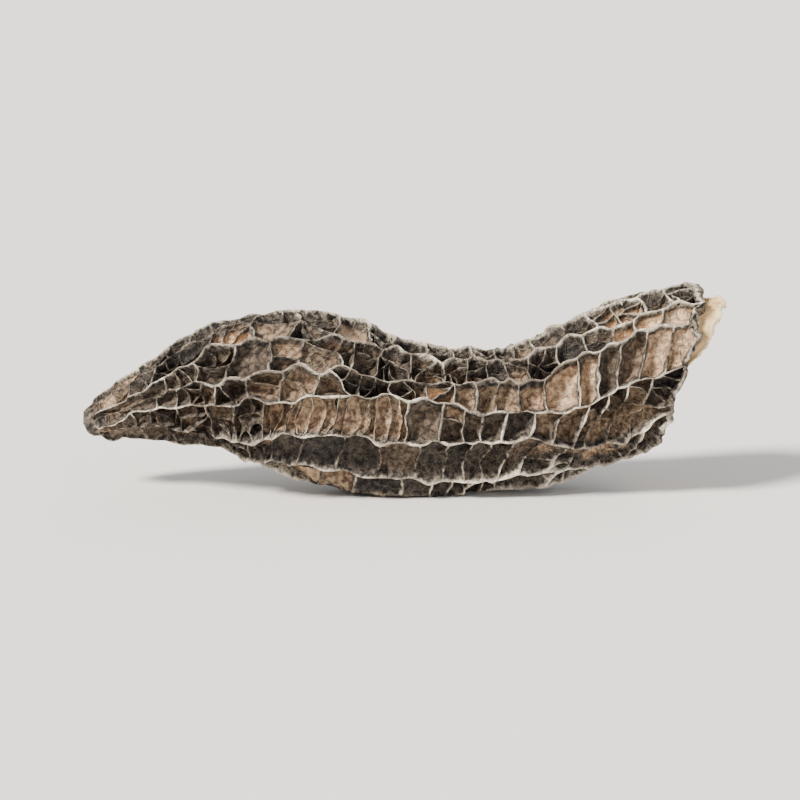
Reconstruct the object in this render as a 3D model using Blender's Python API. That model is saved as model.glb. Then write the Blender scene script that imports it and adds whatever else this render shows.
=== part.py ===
"""Dried morel mushroom, lying on its side, as one hollow solid.

The cap is a long cone that shrank and bent as it dried. Its skin is a net of thin ridges round sunken pits:
the ridges run from the tip to the rim, and lower rungs cross between them. The stem was torn off just past
the cap's rim and is an open tube, and the hollow inside runs from its torn end almost to the tip of the cap.

+X runs from the tip to the stem, +Y away from the viewer and +Z up. The origin is under the middle of the
mushroom, on the surface that it lies on. The driving dimensions are in millimetres and degrees.
"""

import math
import random

import bmesh
import bpy
import numpy as np

MM = 0.001

# The line through the middle of the mushroom: x, y, z, and how far the ridges' crests stand from it
MIDDLE_LINE = (
    (-24.5, 1.05, 5.1, 0.0),
    (-23.6, 1.05, 5.25, 1.15),
    (-20.6, 0.85, 6.25, 2.5),
    (-16.1, 0.45, 7.5, 4.3),
    (-12.6, 0.15, 8.35, 5.65),
    (-9.6, -0.05, 8.25, 6.4),
    (-5.6, -0.15, 7.3, 6.65),
    (-2.1, -0.15, 6.35, 6.2),
    (1.4, -0.05, 6.0, 5.98),
    (5.4, 0.15, 5.85, 5.78),
    (9.4, 0.25, 6.1, 5.65),
    (12.9, 0.45, 7.2, 5.8),
    (16.4, 0.65, 8.6, 6.0),
    (19.9, 0.95, 9.75, 5.9),
    (22.9, 1.15, 10.4, 5.6),
    (28.4, 1.55, 11.3, 5.2),
)
LINE_STEPS = 600

# The lobes that drying left round the cap: how many, their share of the radius, their phase and twist per mm
LOBES = ((2, 0.045, 0.4, 0.05), (3, 0.035, 1.9, -0.11), (1, 0.020, 3.0, 0.42))

# The courses of the five ridges on the side that shows: mm along the line, and degrees round it.
# 90 is the top, 180 faces the viewer and 270 is underneath.
SHOWN_RIDGES = (
    ((0, 150), (8, 147), (11.5, 138), (16.5, 136), (20.5, 123), (24, 118), (28, 122), (37, 121), (40, 115),
     (44, 128), (48, 118), (51, 117)),
    ((0, 166), (7.5, 163), (12, 171), (14, 167), (16.5, 154), (20, 150), (26.5, 141), (32.5, 143), (36, 149),
     (39, 140), (43, 142), (51, 139)),
    ((0, 186), (6.5, 177), (11.5, 187), (15.5, 183), (19.5, 166), (23, 158), (27, 158), (31, 166), (34, 164),
     (38.5, 177), (42, 175), (45, 179), (48, 168), (51, 165)),
    ((0, 210), (6, 203), (9.5, 222), (13.5, 215), (19.5, 195), (22.5, 189), (25, 194), (29, 189), (34.5, 188),
     (37.5, 213), (40, 226), (43, 221), (46.5, 203), (51, 190)),
    ((0, 248), (8.5, 250), (13.5, 246), (16.5, 231), (21, 230), (25, 235), (31, 234), (34, 228), (36, 240),
     (40, 256), (44, 251), (48, 235), (51, 225)),
)
RIDGES = 12

# How far along the line each half row of the net lies, before the rim's slant
HALF_ROWS = (
    1.0, 2.3, 3.5, 4.7, 5.8, 7.0, 8.2, 9.3, 10.5, 11.7, 12.8, 14.0, 15.2, 16.2, 17.0, 18.6, 20.4, 21.4, 22.6, 24.0,
    25.6, 26.7, 27.9, 28.6, 29.5, 30.2, 31.0, 31.8, 32.5, 33.4, 34.4, 35.3, 36.4, 37.8, 38.5, 39.3, 39.9, 40.6, 41.4,
    42.2, 43.1, 44.0, 45.7,
)
LAST_ROW = len(HALF_ROWS) - 1
NET_END = HALF_ROWS[-1]
RIM_SLANT = 3.5
RIM_TOP = 0.2
RIM_BULGE = 0.5
RIM_BULGE_AT = math.radians(170)
RIDGE_WANDER = 4.0
ZIGZAG = 3.0
RUNG_SHIFT = 0.33
SHOWN_SHARE = 0.35
LOW_RUNGS = 0.30
LOW_RUNG_HEIGHT = (0.25, 0.50)
RUNG_HEIGHT = (0.70, 0.95)
PIT_SINK = (0.82, 1.15)

# Every other ridge starts low at the tip, where there is no room for all: its height, half row by half row
STARTING_RIDGE = (0.2, 0.2, 0.25, 0.35, 0.5, 0.6, 0.7, 0.8, 0.9)

# Columns of pits whose rungs stayed low: column, from and to in mm along the line, and the rungs' height
LOW_STRETCHES = ((1, 17.5, 25.0, 0.35), (2, 16.0, 19.5, 0.30), (2, 21.5, 25.0, 0.35), (3, 16.0, 33.0, 0.20))

PIT_DEPTH = 1.25
CREST_HALF_WIDTH = 0.20
WALL_RUN = 0.62
TIGHTEST_FLOOR = 0.34
LEAN = 0.28

# The stem and the hollow
STEM_RADIUS = 4.25
STEM_STUB = 0.9
STEM_SLANT = 0.95
STEM_WALL = 0.65
CAP_WALL = 0.65
DEEPEST_PIT = 1.35
HOLLOW_END = 5.0
HOLLOW_RINGS = 14

# The flat spot where the cap lay as it dried
REST_HALF_LENGTH = 5.5
REST_HALF_WIDTH = 2.6
DOWN = 1.5 * math.pi

SKIN_COLOUR = (0.085, 0.058, 0.040, 1.0)
STEM_COLOUR = (0.78, 0.58, 0.33, 1.0)
DRY_ROUGHNESS = 0.85


def clear_scene():
    for obj in list(bpy.data.objects):
        bpy.data.objects.remove(obj, do_unlink=True)


def smooth_step(value):
    t = np.clip(value, 0.0, 1.0)
    return t * t * (3.0 - 2.0 * t)


def smooth_line(points, count):
    """Points on a smooth curve through these ones, evenly spaced along it."""
    points = np.array(points, float)
    gaps = np.linalg.norm(np.diff(points[:, :3], axis=0), axis=1)
    at = np.concatenate([[0.0], np.cumsum(gaps)])
    slopes = np.gradient(points, at, axis=0)
    where = np.linspace(0.0, at[-1], count)
    index = np.clip(np.searchsorted(at, where) - 1, 0, len(at) - 2)
    span = gaps[index][:, None]
    t = (where - at[index])[:, None] / span
    start, end = points[index], points[index + 1]
    return (
        start * (2 * t**3 - 3 * t**2 + 1)
        + slopes[index] * span * (t**3 - 2 * t**2 + t)
        + end * (3 * t**2 - 2 * t**3)
        + slopes[index + 1] * span * (t**3 - t**2)
    )


class Body:
    """The bent, lobed shape that the net lies on, reached by distance along it and angle round it."""

    def __init__(self):
        line = smooth_line(MIDDLE_LINE, LINE_STEPS)
        self.middle = line[:, :3]
        self.crest = line[:, 3]
        steps = np.linalg.norm(np.diff(self.middle, axis=0), axis=1)
        self.along = np.concatenate([[0.0], np.cumsum(steps)])
        ahead = np.gradient(self.middle, self.along, axis=0)
        ahead /= np.linalg.norm(ahead, axis=1)[:, None]
        side = np.array([0.0, 1.0, 0.0]) - ahead[:, 1:2] * ahead
        self.side = side / np.linalg.norm(side, axis=1)[:, None]
        self.up = np.cross(ahead, self.side)

    def at(self, values, along):
        return np.stack([np.interp(along, self.along, column) for column in values.T], axis=-1)

    def radius(self, along, angle):
        """Out to the crests, with the lobes that drying left in the middle of the cap."""
        lobes = sum(
            share * np.cos(count * angle + phase + twist * along) for count, share, phase, twist in LOBES
        )
        fade = smooth_step(along / 9.0) * (1.0 - 0.8 * smooth_step((along - NET_END + 12.0) / 9.0))
        return np.interp(along, self.along, self.crest) * (1.0 + lobes * fade)

    def point(self, along, angle, radius):
        along, angle, radius = np.broadcast_arrays(along, angle, radius)
        outward = (
            np.cos(angle)[..., None] * self.at(self.side, along)
            + np.sin(angle)[..., None] * self.at(self.up, along)
        )
        return self.at(self.middle, along) + outward * radius[..., None]

    def rest_share(self, along, angle):
        """1 on the flat spot under the cap, falling to 0 round it."""
        middle_x = self.at(self.middle, along)[..., 0]
        turn = np.abs((angle - DOWN + math.pi) % (2 * math.pi) - math.pi)
        across = turn * np.interp(along, self.along, self.crest)
        distance = np.sqrt((middle_x / REST_HALF_LENGTH) ** 2 + (across / REST_HALF_WIDTH) ** 2)
        return smooth_step((1.35 - distance) / 0.6)

    def pit_depth(self, along):
        """How far a pit's floor lies below the crests. It is less at the narrow tip and behind the rim."""
        narrow = np.interp(along, self.along, self.crest) / 5.5
        rim = smooth_step((along - NET_END + 5.0) / 5.0)
        return PIT_DEPTH * np.clip(narrow, 0.15, 1.0) * (1.0 - 0.3 * rim)

    def floor_depth(self, along, angle):
        return self.pit_depth(along) * (1.0 - self.rest_share(along, angle))


def ridge_course(ridge, along):
    """The angle of a ridge. Those on the far side share out the room that the shown ones leave."""
    if ridge < len(SHOWN_RIDGES):
        where, degrees = np.array(SHOWN_RIDGES[ridge], float).T
        return math.radians(np.interp(along, where, degrees))
    last_shown = len(SHOWN_RIDGES) - 1
    start = ridge_course(last_shown, along)
    room = ridge_course(0, along) + 2 * math.pi - start
    return start + room * (ridge - last_shown) / (RIDGES - last_shown)


def rim_slant(angle):
    """How far past the middle of the rim its edge lies. It reaches furthest at the top and in front."""
    return RIM_SLANT * (np.sin(angle) - RIM_TOP + RIM_BULGE * np.cos(angle - RIM_BULGE_AT))


class Net:
    """Where the ridges and rungs run. A ridge has a knot at every half row, and rungs leave it by turns."""

    def __init__(self):
        draw = random.Random(20)
        shape = (RIDGES, LAST_ROW + 1)
        self.place = np.zeros(shape)
        self.turn = np.zeros(shape)
        self.height = np.zeros(shape)
        self.rung_height = np.zeros(shape)
        self.rung_bow = np.zeros(shape)
        self.sink = np.zeros(shape)
        gaps = np.diff(HALF_ROWS)
        for i in range(RIDGES):
            phase = draw.uniform(0, 2 * math.pi)
            rise = draw.uniform(0, 2 * math.pi)
            loose = SHOWN_SHARE if i < len(SHOWN_RIDGES) else 1.0
            for k in range(LAST_ROW + 1):
                share = k / LAST_ROW
                room = loose * min(gaps[k - 1], gaps[k]) if 0 < k < LAST_ROW else 0.0
                along = HALF_ROWS[k] + room * draw.uniform(-RUNG_SHIFT, RUNG_SHIFT)
                along += rim_slant(ridge_course(i, along)) * smooth_step((share - 0.45) / 0.55)
                degrees = loose * RIDGE_WANDER * (math.cos(9.0 * share + phase) + draw.uniform(-0.6, 0.6))
                degrees += ZIGZAG if (k + i) % 2 == 0 else -ZIGZAG
                self.place[i, k] = along
                self.turn[i, k] = ridge_course(i, along) + math.radians(degrees)
                self.height[i, k] = 0.88 + 0.12 * math.cos(14.0 * share + rise)
                low = draw.random() < LOW_RUNGS
                self.rung_height[i, k] = draw.uniform(*(LOW_RUNG_HEIGHT if low else RUNG_HEIGHT))
                self.rung_bow[i, k] = room * draw.uniform(-0.35, 0.35)
                self.sink[i, k] = draw.uniform(*PIT_SINK)
        for column, first, last, height in LOW_STRETCHES:
            inside = (self.place[column] > first) & (self.place[column] < last)
            self.rung_height[column, inside] = height
        self.height[1::2, :len(STARTING_RIDGE)] *= np.array(STARTING_RIDGE)
        self.height[:, -1] = 1.0
        self.rung_height[:, 0] = 0.6
        self.rung_height[:, -1] = 1.0

    def knot(self, i, k):
        """Distance along, angle and crest height (0 to 1) of ridge i at half row k."""
        whole_turns, i = divmod(i, RIDGES)
        return self.place[i, k], self.turn[i, k] + 2 * math.pi * whole_turns, self.height[i, k]

    def rung_middle(self, i, k):
        along_a, angle_a, height_a = self.knot(i, k)
        along_b, angle_b, height_b = self.knot(i + 1, k)
        height = (height_a + height_b) / 2 * self.rung_height[i, k]
        return (along_a + along_b) / 2 + self.rung_bow[i, k], (angle_a + angle_b) / 2, height

    def pits(self):
        """Each pit, as its column and the half rows of the rungs at its two ends."""
        for i in range(RIDGES):
            rows = [k for k in range(LAST_ROW + 1) if k in (0, LAST_ROW) or (k + i) % 2 == 0]
            yield from ((i, first, last) for first, last in zip(rows, rows[1:]))

    def outline(self, i, first, last):
        """The names and places of the net's knots round a pit."""
        near = [(("knot", i, k), self.knot(i, k)) for k in range(first, last + 1)]
        far = [(("knot", i + 1, k), self.knot(i + 1, k)) for k in range(last, first - 1, -1)]
        end = [(("rung", i, last), self.rung_middle(i, last))]
        start = [(("rung", i, first), self.rung_middle(i, first))]
        return near + end + far + start

    def edge(self, k):
        """The names and places of the net's knots round one end of it."""
        knots = []
        for i in range(RIDGES):
            knots.append((("knot", i, k), self.knot(i, k)))
            knots.append((("rung", i, k), self.rung_middle(i, k)))
        return knots


class Skin:
    """Adds vertices by where they lie on the body, and faces between rings of them."""

    def __init__(self, body):
        self.body = body
        self.bm = bmesh.new()
        self.net_vertices = {}

    def add(self, along, angle, radius):
        place = self.body.point(along, angle, radius)
        place[2] = max(place[2], 0.0)
        return self.bm.verts.new(place * MM)

    def add_crest(self, along, angle, height):
        """A vertex on a ridge, which leans over a little where it dried that way."""
        depth = self.body.floor_depth(along, angle)
        radius = self.body.radius(along, angle)
        sway = math.cos(2 * angle + 0.33 * along) + 0.7 * math.cos(5 * angle - 0.51 * along + 1.0)
        lean = LEAN * sway / 1.7 * height * depth / PIT_DEPTH
        return self.add(along, angle + lean / radius, radius - depth * (1.0 - height))

    def net_vertex(self, name, place):
        """The vertex at a knot of the net, made once and shared by the pits round it."""
        kind, i, k = name
        name = (kind, i % RIDGES, k)
        if name not in self.net_vertices:
            self.net_vertices[name] = self.add_crest(*place)
        return self.net_vertices[name]

    def strip(self, ring, following, slot=0):
        ahead = following[1:] + following[:1]
        for a, b, c, d in zip(ring, ring[1:] + ring[:1], ahead, following):
            self.bm.faces.new((a, b, c, d)).material_index = slot

    def fan(self, ring, hub, slot=0):
        for a, b in zip(ring, ring[1:] + ring[:1]):
            self.bm.faces.new((a, b, hub)).material_index = slot


def add_pit(skin, net, i, first, last):
    """One pit: half of the flat crest round it, the wall down from there, and a bowl for its floor."""
    body = skin.body
    outline = net.outline(i, first, last)
    crest = [skin.net_vertex(name, place) for name, place in outline]
    along, angle, height = (np.array(values) for values in zip(*(place for _, place in outline)))
    middle_along, middle_angle = along.mean(), angle.mean()
    radius = float(body.radius(middle_along, middle_angle))
    half_length = np.abs(along - middle_along).mean() * 1.25
    half_width = np.abs(angle - middle_angle).mean() * 1.15 * radius

    def drawn_in(distance):
        lengthwise = max(TIGHTEST_FLOOR, 1.0 - distance / half_length)
        crosswise = max(TIGHTEST_FLOOR, 1.0 - distance / half_width)
        return (
            middle_along + (along - middle_along) * lengthwise,
            middle_angle + (angle - middle_angle) * crosswise,
        )

    lip_along, lip_angle = drawn_in(min(CREST_HALF_WIDTH, 0.3 * half_width))
    lip = [skin.add_crest(*place) for place in zip(lip_along, lip_angle, height)]
    floor_along, floor_angle = drawn_in(WALL_RUN)
    sink = net.sink[i, first]
    floor_radius = body.radius(floor_along, floor_angle) - sink * body.floor_depth(floor_along, floor_angle)
    floor = [skin.add(*place) for place in zip(floor_along, floor_angle, floor_radius)]
    deepest = 1.12 * sink * body.floor_depth(middle_along, middle_angle)
    skin.strip(crest, lip)
    skin.strip(lip, floor)
    skin.fan(floor, skin.add(middle_along, middle_angle, radius - deepest))


def add_tip(skin, net):
    ring = [skin.net_vertex(name, place) for name, place in net.edge(0)]
    ring.reverse()
    skin.fan(ring, skin.add(0.0, 0.0, 0.0))


def stem_radius(angle):
    """Out to the stem's skin, with its lengthwise folds."""
    return STEM_RADIUS * (1.0 + 0.035 * np.cos(3 * angle + 1.0) + 0.025 * np.cos(5 * angle + 2.0))


def stem_end(rim_along, angle):
    """How far along the stem's torn edge lies. It sticks out furthest at the top."""
    torn = 0.22 * np.cos(5 * angle + 2.2) + 0.15 * np.cos(7 * angle)
    return rim_along + STEM_STUB + STEM_SLANT * np.cos(angle - math.radians(70)) + torn


def hollow_radius(body, along, angle):
    """Out to the wall of the hollow, which lies inside the pit floors and then inside the stem's skin."""
    in_cap = body.radius(along, angle) - DEEPEST_PIT * body.pit_depth(along) - CAP_WALL
    in_stem = stem_radius(angle) - STEM_WALL
    share = smooth_step((along - NET_END + 5.0) / 5.0)
    return np.maximum(in_cap * (1.0 - share) + in_stem * share, 0.4)


def add_stem_and_hollow(skin, net):
    """Rings from the cap's rim out along the stem, over its torn end and back up the hollow."""
    body = skin.body
    knots = net.edge(LAST_ROW)
    ring = [skin.net_vertex(name, place) for name, place in knots]
    rim_along = np.array([place[0] for _, place in knots])
    angle = np.array([place[1] for _, place in knots])
    crest = body.radius(rim_along, angle)
    stem = stem_radius(angle)
    end = stem_end(rim_along, angle)
    outside = (
        (rim_along + 0.40, crest - 0.25, 0),
        (rim_along + 0.35, crest * 0.5 + stem * 0.5, 0),
        (rim_along + 0.10, stem + 0.05, 1),
        (rim_along * 0.5 + end * 0.5, stem, 1),
        (end, stem + 0.10, 1),
    )
    for along, radius, slot in outside:
        following = [skin.add(*place) for place in zip(along, angle, radius)]
        skin.strip(following, ring, slot)
        ring = following
    for step in np.linspace(0.0, 1.0, HOLLOW_RINGS):
        along = end * (1.0 - step) + HOLLOW_END * step
        closing = math.sqrt(1.0 - 0.8 * max(0.0, step - 0.75) / 0.25)
        radius = hollow_radius(body, along, angle) * closing
        following = [skin.add(*place) for place in zip(along, angle, radius)]
        skin.strip(following, ring, 1)
        ring = following
    skin.fan(ring, skin.add(HOLLOW_END - 0.8, 0.0, 0.0), 1)


def dry_material(name, colour):
    material = bpy.data.materials.new(name)
    material.use_nodes = True
    shader = material.node_tree.nodes["Principled BSDF"]
    shader.inputs["Base Color"].default_value = colour
    shader.inputs["Roughness"].default_value = DRY_ROUGHNESS
    shader.inputs["Metallic"].default_value = 0.0
    return material


def make_morel():
    body = Body()
    net = Net()
    skin = Skin(body)
    for i, first, last in net.pits():
        add_pit(skin, net, i, first, last)
    add_tip(skin, net)
    add_stem_and_hollow(skin, net)
    bmesh.ops.recalc_face_normals(skin.bm, faces=skin.bm.faces)
    mesh = bpy.data.meshes.new("morel")
    skin.bm.to_mesh(mesh)
    skin.bm.free()
    mesh.materials.append(dry_material("dried cap skin", SKIN_COLOUR))
    mesh.materials.append(dry_material("dried stem flesh", STEM_COLOUR))
    morel = bpy.data.objects.new("morel", mesh)
    bpy.context.scene.collection.objects.link(morel)


clear_scene()
make_morel()
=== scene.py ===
# %% [markdown]
# # A dried morel mushroom
#
# The real thing is one hollow piece of dried flesh, just under 5 cm long. Its cap is a net of thin pale
# ridges round dark sunken pits, and its stem was torn off just past the cap's rim. The solid model gives its
# place, its size and the course of its main ridges. This script grows the fine skin over the same shape: it
# repeats the rule of the net, draws every ridge with many small steps, and then wrinkles, colours and lights
# the result.

import math
import random

import bmesh
import bpy
import numpy as np
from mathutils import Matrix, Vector


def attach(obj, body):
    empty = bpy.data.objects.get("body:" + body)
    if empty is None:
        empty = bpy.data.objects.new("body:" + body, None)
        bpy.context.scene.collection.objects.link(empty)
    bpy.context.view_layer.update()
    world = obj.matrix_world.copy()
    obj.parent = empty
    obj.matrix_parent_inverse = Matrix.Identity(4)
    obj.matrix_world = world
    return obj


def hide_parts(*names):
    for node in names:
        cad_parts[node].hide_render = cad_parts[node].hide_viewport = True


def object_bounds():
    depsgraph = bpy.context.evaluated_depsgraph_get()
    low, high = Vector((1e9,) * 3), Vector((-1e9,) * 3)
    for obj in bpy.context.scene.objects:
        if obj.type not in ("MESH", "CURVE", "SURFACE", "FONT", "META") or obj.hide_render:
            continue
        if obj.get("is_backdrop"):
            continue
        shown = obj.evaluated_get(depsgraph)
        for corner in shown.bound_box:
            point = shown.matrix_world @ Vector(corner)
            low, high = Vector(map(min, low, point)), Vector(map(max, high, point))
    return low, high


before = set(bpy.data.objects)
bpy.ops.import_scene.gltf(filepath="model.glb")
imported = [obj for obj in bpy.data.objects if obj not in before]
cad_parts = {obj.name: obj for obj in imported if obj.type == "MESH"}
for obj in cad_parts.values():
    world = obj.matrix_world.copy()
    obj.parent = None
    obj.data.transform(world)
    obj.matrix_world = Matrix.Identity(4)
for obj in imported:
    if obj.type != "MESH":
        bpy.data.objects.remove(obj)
cad_low, cad_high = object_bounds()
MM = 0.001
print("solid model, mm:", [round((high - low) / MM, 1) for low, high in zip(cad_low, cad_high)])

# %% [markdown]
# ## The bent body
#
# Every point of the skin is found from two numbers: how far it is along a line through the middle of the
# mushroom, and the angle round that line. A sculpted lump would give no such address. With one, a ridge is
# just a path in along-and-angle space, and it bends with the body for nothing. The line's stations are the
# shape's driving sizes in mm: x, y, z, and how far the ridges' crests stand from the line.

# %% The middle line
MIDDLE_LINE = (
    (-24.5, 1.05, 5.1, 0.0),
    (-23.6, 1.05, 5.25, 1.15),
    (-20.6, 0.85, 6.25, 2.5),
    (-16.1, 0.45, 7.5, 4.3),
    (-12.6, 0.15, 8.35, 5.65),
    (-9.6, -0.05, 8.25, 6.4),
    (-5.6, -0.15, 7.3, 6.65),
    (-2.1, -0.15, 6.35, 6.2),
    (1.4, -0.05, 6.0, 5.98),
    (5.4, 0.15, 5.85, 5.78),
    (9.4, 0.25, 6.1, 5.65),
    (12.9, 0.45, 7.2, 5.8),
    (16.4, 0.65, 8.6, 6.0),
    (19.9, 0.95, 9.75, 5.9),
    (22.9, 1.15, 10.4, 5.6),
    (28.4, 1.55, 11.3, 5.2),
)
LINE_STEPS = 600


def smooth_step(value):
    t = np.clip(value, 0.0, 1.0)
    return t * t * (3.0 - 2.0 * t)


def smooth_line(points, count):
    """Points on a smooth curve through these ones, evenly spaced along it."""
    points = np.array(points, float)
    gaps = np.linalg.norm(np.diff(points[:, :3], axis=0), axis=1)
    at = np.concatenate([[0.0], np.cumsum(gaps)])
    slopes = np.gradient(points, at, axis=0)
    where = np.linspace(0.0, at[-1], count)
    index = np.clip(np.searchsorted(at, where) - 1, 0, len(at) - 2)
    span = gaps[index][:, None]
    t = (where - at[index])[:, None] / span
    start, end = points[index], points[index + 1]
    return (
        start * (2 * t**3 - 3 * t**2 + 1)
        + slopes[index] * span * (t**3 - 2 * t**2 + t)
        + end * (3 * t**2 - 2 * t**3)
        + slopes[index + 1] * span * (t**3 - t**2)
    )


line = smooth_line(MIDDLE_LINE, LINE_STEPS)
middle_line, crest_line = line[:, :3], line[:, 3]
line_along = np.concatenate([[0.0], np.cumsum(np.linalg.norm(np.diff(middle_line, axis=0), axis=1))])
ahead = np.gradient(middle_line, line_along, axis=0)
ahead /= np.linalg.norm(ahead, axis=1)[:, None]
line_side = np.array([0.0, 1.0, 0.0]) - ahead[:, 1:2] * ahead
line_side /= np.linalg.norm(line_side, axis=1)[:, None]
line_up = np.cross(ahead, line_side)
print("middle line, mm:", round(line_along[-1], 1))

# %% From along, angle and radius to a point in space
# Each lobe: times round, share of the radius, phase, and twist in radians a mm
NET_END = 45.7
LOBES = ((2, 0.045, 0.4, 0.05), (3, 0.035, 1.9, -0.11), (1, 0.020, 3.0, 0.42))


def on_line(values, along):
    return np.stack([np.interp(along, line_along, column) for column in values.T], axis=-1)


def body_radius(along, angle):
    """Out to the crests, with the lobes that drying left in the middle of the cap."""
    lobes = sum(share * np.cos(count * angle + phase + twist * along) for count, share, phase, twist in LOBES)
    fade = smooth_step(along / 9.0) * (1.0 - 0.8 * smooth_step((along - NET_END + 12.0) / 9.0))
    return np.interp(along, line_along, crest_line) * (1.0 + lobes * fade)


def body_point(along, angle, radius):
    along, angle, radius = np.broadcast_arrays(along, angle, radius)
    outward = np.cos(angle)[..., None] * on_line(line_side, along)
    outward = outward + np.sin(angle)[..., None] * on_line(line_up, along)
    return on_line(middle_line, along) + outward * radius[..., None]


print("radius of the cap at 25 mm along:", round(float(body_radius(25.0, 0.0)), 2), "mm")


# %% How deep the pits are, and the flat spot that the mushroom rests on
PIT_DEPTH = 1.25
REST_HALF_LENGTH = 5.5
REST_HALF_WIDTH = 2.6
DOWN = 1.5 * math.pi


def rest_share(along, angle):
    """1 on the flat spot under the cap, falling to 0 round it."""
    middle_x = np.interp(along, line_along, middle_line[:, 0])
    turn = np.abs((angle - DOWN + math.pi) % (2 * math.pi) - math.pi)
    across = turn * np.interp(along, line_along, crest_line)
    distance = np.sqrt((middle_x / REST_HALF_LENGTH) ** 2 + (across / REST_HALF_WIDTH) ** 2)
    return smooth_step((1.35 - distance) / 0.6)


def pit_depth(along):
    narrow = np.interp(along, line_along, crest_line) / 5.5
    rim = smooth_step((along - NET_END + 5.0) / 5.0)
    return PIT_DEPTH * np.clip(narrow, 0.15, 1.0) * (1.0 - 0.3 * rim)


def floor_depth(along, angle):
    return pit_depth(along) * (1.0 - rest_share(along, angle))


print("depth of a pit at 25 mm along:", round(float(pit_depth(25.0)), 2), "mm")


# %% [markdown]
# ## The net of ridges
#
# On a real morel the main ridges run from the tip to the rim, and lower rungs cross between them, staggered
# like the joints of bricks. That rule makes the six-sided pits by itself. The five ridges on the side that
# shows follow the courses read from the mushroom, as mm along and degrees round, and the others share out the
# rest of the way round. The draws are seeded and in the same order as in the solid, so both have the same
# net.

# %% The courses of the ridges
SHOWN_RIDGES = (
    ((0, 150), (8, 147), (11.5, 138), (16.5, 136), (20.5, 123), (24, 118), (28, 122), (37, 121), (40, 115),
     (44, 128), (48, 118), (51, 117)),
    ((0, 166), (7.5, 163), (12, 171), (14, 167), (16.5, 154), (20, 150), (26.5, 141), (32.5, 143), (36, 149),
     (39, 140), (43, 142), (51, 139)),
    ((0, 186), (6.5, 177), (11.5, 187), (15.5, 183), (19.5, 166), (23, 158), (27, 158), (31, 166), (34, 164),
     (38.5, 177), (42, 175), (45, 179), (48, 168), (51, 165)),
    ((0, 210), (6, 203), (9.5, 222), (13.5, 215), (19.5, 195), (22.5, 189), (25, 194), (29, 189), (34.5, 188),
     (37.5, 213), (40, 226), (43, 221), (46.5, 203), (51, 190)),
    ((0, 248), (8.5, 250), (13.5, 246), (16.5, 231), (21, 230), (25, 235), (31, 234), (34, 228), (36, 240),
     (40, 256), (44, 251), (48, 235), (51, 225)),
)
RIDGES = 12


def ridge_course(ridge, along):
    """The angle of a ridge. Those on the far side share out the room that the shown ones leave."""
    if ridge < len(SHOWN_RIDGES):
        where, degrees = np.array(SHOWN_RIDGES[ridge], float).T
        return math.radians(np.interp(along, where, degrees))
    last_shown = len(SHOWN_RIDGES) - 1
    start = ridge_course(last_shown, along)
    room = ridge_course(0, along) + 2 * math.pi - start
    return start + room * (ridge - last_shown) / (RIDGES - last_shown)


print("ridges:", RIDGES, "of which", len(SHOWN_RIDGES), "follow a course read from the mushroom")


# %% The half rows of the net, and how the rim slants
HALF_ROWS = (
    1.0, 2.3, 3.5, 4.7, 5.8, 7.0, 8.2, 9.3, 10.5, 11.7, 12.8, 14.0, 15.2, 16.2, 17.0,
    18.6, 20.4, 21.4, 22.6, 24.0, 25.6, 26.7, 27.9, 28.6, 29.5, 30.2, 31.0, 31.8, 32.5, 33.4,
    34.4, 35.3, 36.4, 37.8, 38.5, 39.3, 39.9, 40.6, 41.4, 42.2, 43.1, 44.0, 45.7,
)
LAST_ROW = len(HALF_ROWS) - 1
RIM_SLANT = 3.5
RIM_TOP = 0.2
RIM_BULGE = 0.5
RIM_BULGE_AT = math.radians(170)


def rim_slant(angle):
    """How far past the middle of the rim its edge lies. It reaches furthest at the top and in front."""
    return RIM_SLANT * (np.sin(angle) - RIM_TOP + RIM_BULGE * np.cos(angle - RIM_BULGE_AT))


print("half rows:", len(HALF_ROWS))


# %% The knots of the net
RIDGE_WANDER = 4.0
ZIGZAG = 3.0
RUNG_SHIFT = 0.33
SHOWN_SHARE = 0.35  # how much of the random shifts the shown ridges get
LOW_RUNGS = 0.30
LOW_RUNG_HEIGHT = (0.25, 0.50)
RUNG_HEIGHT = (0.70, 0.95)
PIT_SINK = (0.82, 1.15)
STARTING_RIDGE = (0.2, 0.2, 0.25, 0.35, 0.5, 0.6, 0.7, 0.8, 0.9)

# Stretches whose rungs stay low: column, from and to in mm along, and height
LOW_STRETCHES = ((1, 17.5, 25.0, 0.35), (2, 16.0, 19.5, 0.30), (2, 21.5, 25.0, 0.35), (3, 16.0, 33.0, 0.20))

grid = (RIDGES, LAST_ROW + 1)
knot_along, knot_angle, knot_height = np.zeros(grid), np.zeros(grid), np.zeros(grid)
rung_height, rung_bow, pit_sink = np.zeros(grid), np.zeros(grid), np.zeros(grid)
gaps = np.diff(HALF_ROWS)
draw = random.Random(20)
for i in range(RIDGES):
    phase = draw.uniform(0, 2 * math.pi)
    rise = draw.uniform(0, 2 * math.pi)
    loose = SHOWN_SHARE if i < len(SHOWN_RIDGES) else 1.0
    for k in range(LAST_ROW + 1):
        share = k / LAST_ROW
        room = loose * min(gaps[k - 1], gaps[k]) if 0 < k < LAST_ROW else 0.0
        along = HALF_ROWS[k] + room * draw.uniform(-RUNG_SHIFT, RUNG_SHIFT)
        along += rim_slant(ridge_course(i, along)) * smooth_step((share - 0.45) / 0.55)
        degrees = loose * RIDGE_WANDER * (math.cos(9.0 * share + phase) + draw.uniform(-0.6, 0.6))
        degrees += ZIGZAG if (k + i) % 2 == 0 else -ZIGZAG
        knot_along[i, k] = along
        knot_angle[i, k] = ridge_course(i, along) + math.radians(degrees)
        knot_height[i, k] = 0.88 + 0.12 * math.cos(14.0 * share + rise)
        low = draw.random() < LOW_RUNGS
        rung_height[i, k] = draw.uniform(*(LOW_RUNG_HEIGHT if low else RUNG_HEIGHT))
        rung_bow[i, k] = room * draw.uniform(-0.35, 0.35)
        pit_sink[i, k] = draw.uniform(*PIT_SINK)
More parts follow.
